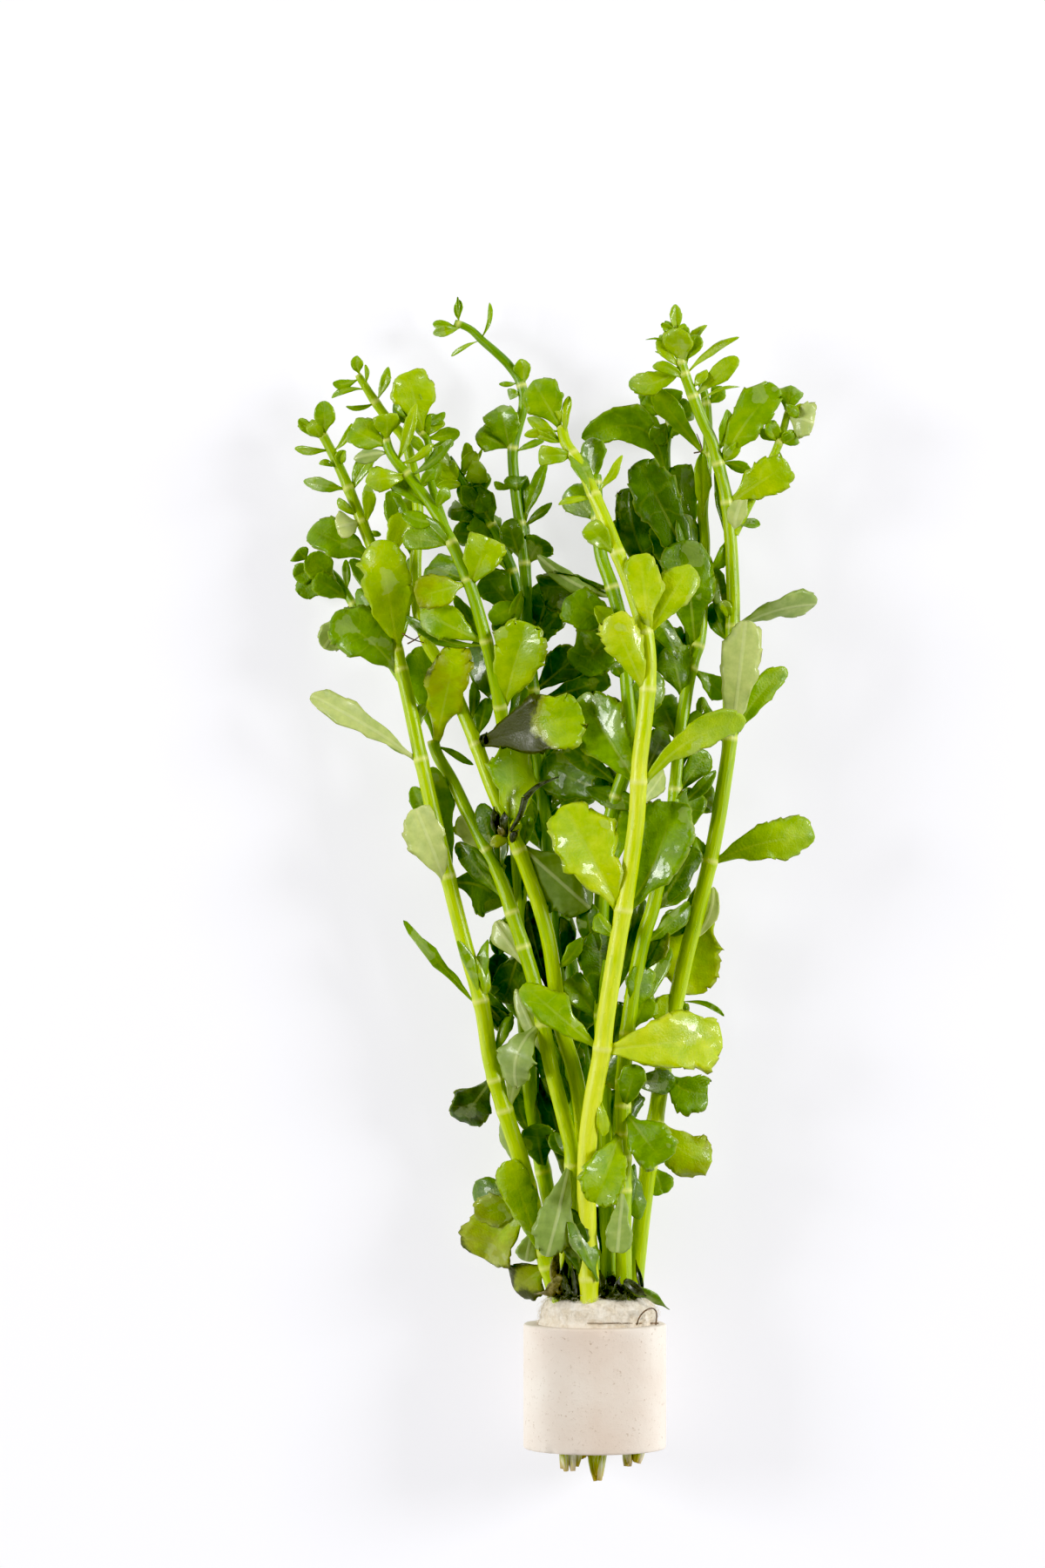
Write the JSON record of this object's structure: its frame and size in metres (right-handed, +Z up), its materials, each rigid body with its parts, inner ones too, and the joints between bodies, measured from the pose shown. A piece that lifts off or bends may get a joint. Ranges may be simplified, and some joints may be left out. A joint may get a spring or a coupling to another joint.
{
  "type": "water hyssop bunch",
  "caption": "Lying bunch of leafy water hyssop stems, held by a wool plug in a short unglazed ceramic ring.",
  "frame": {"origin": "middle of the surface the bunch lies on, under the middle of its bounding box", "axes": "+Y from the ceramic ring towards the tips of the stems, +X to the right of it as seen from above, +Z up"},
  "size_m": [0.0924, 0.2074, 0.031],
  "materials": {
    "ceramic": "unglazed, matt",
    "wool": "fibrous, matt",
    "stem": "fleshy, moist",
    "leaf": "fleshy, wet"
  },
  "bodies": {
    "root": {"ceramic_ring": "ceramic", "wool_plug": "wool", "stem_01": "stem", "stem_02": "stem", "stem_03": "stem", "stem_04": "stem", "stem_05": "stem", "stem_06": "stem", "stem_07": "stem", "stem_08": "stem", "stem_09": "stem", "stem_10": "stem", "shoot_01": "stem", "shoot_02": "stem", "shoot_03": "stem", "shoot_04": "stem", "leaf_01": "leaf", "leaf_02": "leaf", "leaf_03": "leaf", "leaf_04": "leaf", "leaf_05": "leaf", "leaf_06": "leaf", "leaf_07": "leaf", "leaf_08": "leaf", "leaf_09": "leaf", "leaf_10": "leaf", "leaf_11": "leaf", "leaf_12": "leaf", "leaf_13": "leaf", "leaf_14": "leaf", "leaf_15": "leaf", "leaf_16": "leaf", "leaf_17": "leaf", "leaf_18": "leaf", "leaf_19": "leaf", "leaf_20": "leaf", "leaf_21": "leaf", "leaf_22": "leaf", "leaf_23": "leaf", "leaf_24": "leaf", "leaf_25": "leaf", "leaf_26": "leaf", "leaf_27": "leaf", "leaf_28": "leaf", "leaf_29": "leaf", "leaf_30": "leaf", "leaf_31": "leaf", "leaf_32": "leaf", "leaf_33": "leaf", "leaf_34": "leaf", "leaf_35": "leaf", "leaf_36": "leaf", "leaf_37": "leaf", "leaf_38": "leaf", "leaf_39": "leaf", "leaf_40": "leaf", "leaf_41": "leaf", "leaf_42": "leaf", "leaf_43": "leaf", "leaf_44": "leaf"}
  },
  "joints": []
}
